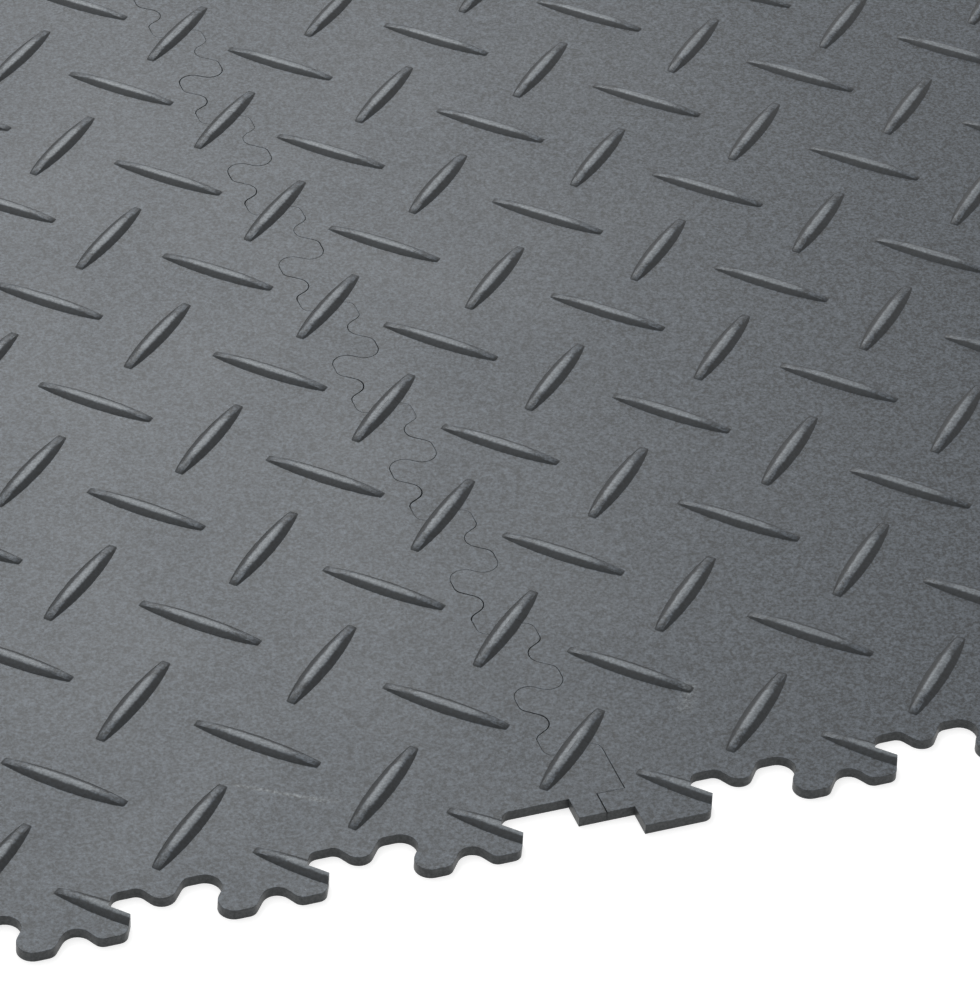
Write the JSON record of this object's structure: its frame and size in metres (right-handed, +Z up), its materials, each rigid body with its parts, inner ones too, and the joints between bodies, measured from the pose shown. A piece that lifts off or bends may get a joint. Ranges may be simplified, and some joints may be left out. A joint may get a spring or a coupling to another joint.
{
  "type": "interlocking floor mat",
  "caption": "Two flexible moulded floor tiles joined by puzzle teeth along a seam, with raised checker-plate lugs on top and bare interlocking teeth on the free edges.",
  "frame": {"origin": "middle of the seam between the two tiles, on the floor", "axes": "+X from the left tile to the right tile, across the seam; +Y along the seam, away from the front edge; +Z up out of the walking face"},
  "size_m": [1.0162, 0.516, 0.0045],
  "materials": {
    "tile_grey": "matt, fine-grained flexible vinyl, mid grey"
  },
  "bodies": {
    "tile_left": {"tile_left": "tile_grey"},
    "tile_right": {"tile_right": "tile_grey"}
  },
  "joints": [
    {"name": "tile_right_lift", "type": "slide", "parent": "tile_left", "child": "tile_right", "axis": [0, 0, 1], "range_m": [0, 0.02]}
  ]
}
